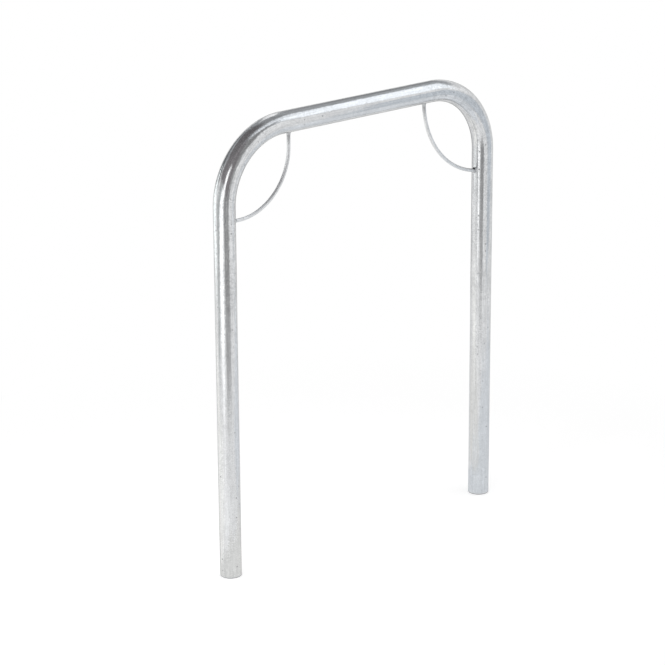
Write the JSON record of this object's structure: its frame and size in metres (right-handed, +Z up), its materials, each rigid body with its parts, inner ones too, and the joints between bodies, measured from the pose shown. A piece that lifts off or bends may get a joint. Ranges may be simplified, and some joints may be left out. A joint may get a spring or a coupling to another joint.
{
  "type": "hoop bike rack",
  "caption": "Inverted-U cycle stand of bent round tube, with a thin round bar welded across each top corner as a closed eye for a lock. Its legs are set in concrete.",
  "frame": {"origin": "midway between the two feet, at the level of their cut ends", "axes": "+X along the hoop from the left leg to the right leg, +Z up the legs, +Y across the hoop; the side seen in the picture faces -Y"},
  "size_m": [0.8, 0.0484, 1.025],
  "materials": {
    "galvanised_tube": "hot-dip galvanised, satin, with fine mottling and scattered dark specks",
    "galvanised_bar": "hot-dip galvanised round bar, satin",
    "galvanised_weld": "weld bead under zinc, dull and darker than the tube"
  },
  "bodies": {
    "root": {"hoop_tube": "galvanised_tube", "left_locking_bar": "galvanised_bar", "right_locking_bar": "galvanised_bar", "left_top_weld": "galvanised_weld", "left_leg_weld": "galvanised_weld", "right_top_weld": "galvanised_weld", "right_leg_weld": "galvanised_weld"}
  },
  "joints": []
}
